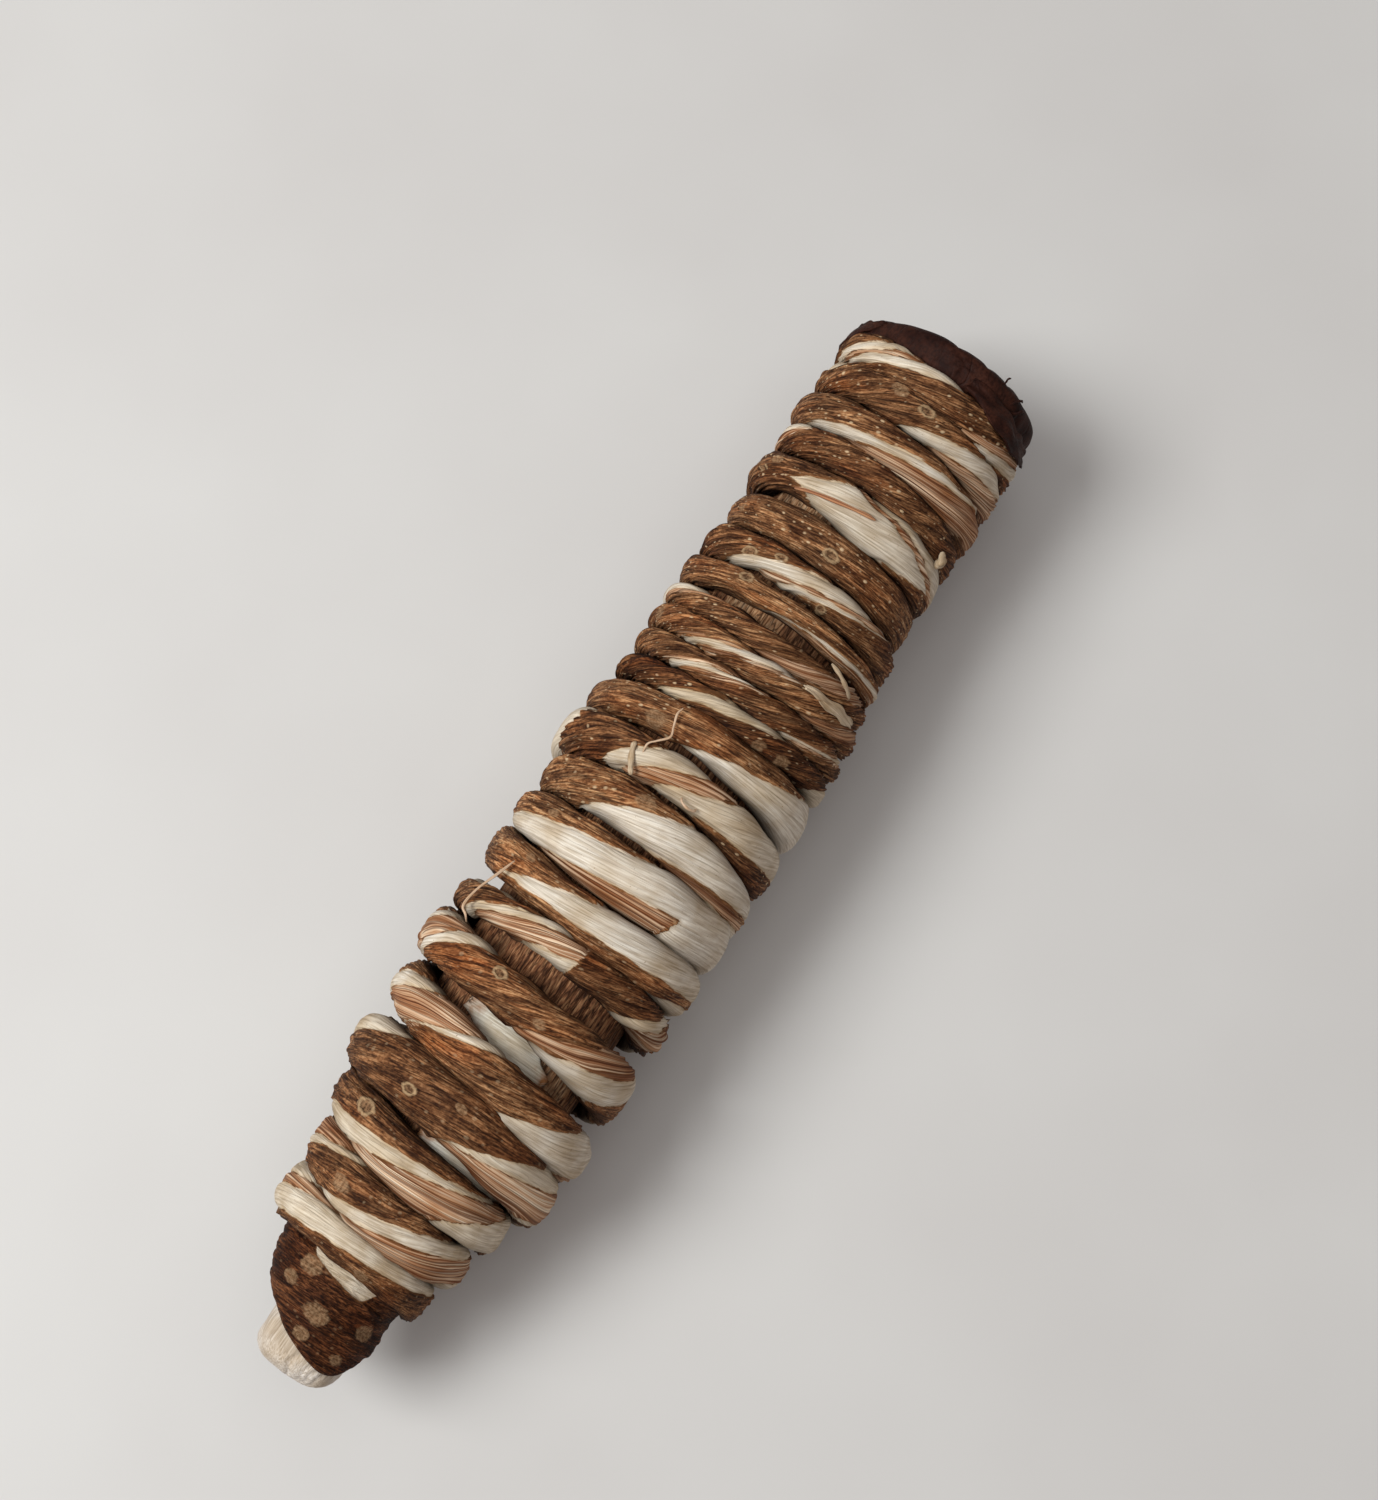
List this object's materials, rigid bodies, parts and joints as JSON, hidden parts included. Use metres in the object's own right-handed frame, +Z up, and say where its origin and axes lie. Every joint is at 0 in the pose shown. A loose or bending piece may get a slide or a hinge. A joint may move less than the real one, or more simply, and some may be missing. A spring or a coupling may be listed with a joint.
{
  "type": "rainstick",
  "caption": "Rainstick: hollow tapered stalk wound with twisted plant strip, leather cap at the wide end; loose seeds run past cane pins inside when it is tipped.",
  "frame": {"origin": "on the floor under the middle of the stick as it lies", "axes": "+X along the stick from the narrow plugged end to the wide capped end, +Z up, +Y across"},
  "size_m": [0.3, 0.0666, 0.0673],
  "materials": {
    "stalk": "dry, matt plant stalk",
    "bark": "matt ridged bark",
    "twisted_strip": "dry twisted strip, brown skin and cream pith",
    "band_skin": "dark brown skin with pale leaf scars",
    "pale_pith": "soft pale pith",
    "turned_wood": "bare turned wood",
    "cap_leather": "thin crinkled leather, maroon",
    "split_cane": "split cane",
    "seed": "dry seed"
  },
  "bodies": {
    "stick": {"core_tube": "stalk", "pin_spiral_1": "split_cane", "pin_spiral_2": "split_cane", "pin_spiral_3": "split_cane", "pin_spiral_4": "split_cane", "under_wrap": "bark", "narrow_end_plug": "pale_pith", "wide_end_plug": "turned_wood", "end_cap": "cap_leather", "end_band": "band_skin", "wrap_strip_01": "twisted_strip", "wrap_strip_02": "twisted_strip", "wrap_strip_03": "twisted_strip", "wrap_strip_04": "twisted_strip", "wrap_strip_05": "twisted_strip", "wrap_strip_06": "twisted_strip", "wrap_strip_07": "twisted_strip", "wrap_strip_08": "twisted_strip", "wrap_strip_09": "twisted_strip", "wrap_strip_10": "twisted_strip"},
    "seeds_bottom": {"seeds_bottom_lane": "seed"},
    "seeds_left": {"seeds_left_lane": "seed"},
    "seeds_right": {"seeds_right_lane": "seed"}
  },
  "joints": [
    {"name": "seeds_bottom_run", "type": "slide", "parent": "stick", "child": "seeds_bottom", "axis": [1, 0, 0], "range_m": [-0.0615, 0.0755]},
    {"name": "seeds_left_run", "type": "slide", "parent": "stick", "child": "seeds_left", "axis": [1, 0, 0], "range_m": [-0.0895, 0.0475]},
    {"name": "seeds_right_run", "type": "slide", "parent": "stick", "child": "seeds_right", "axis": [1, 0, 0], "range_m": [-0.0375, 0.0995]}
  ]
}
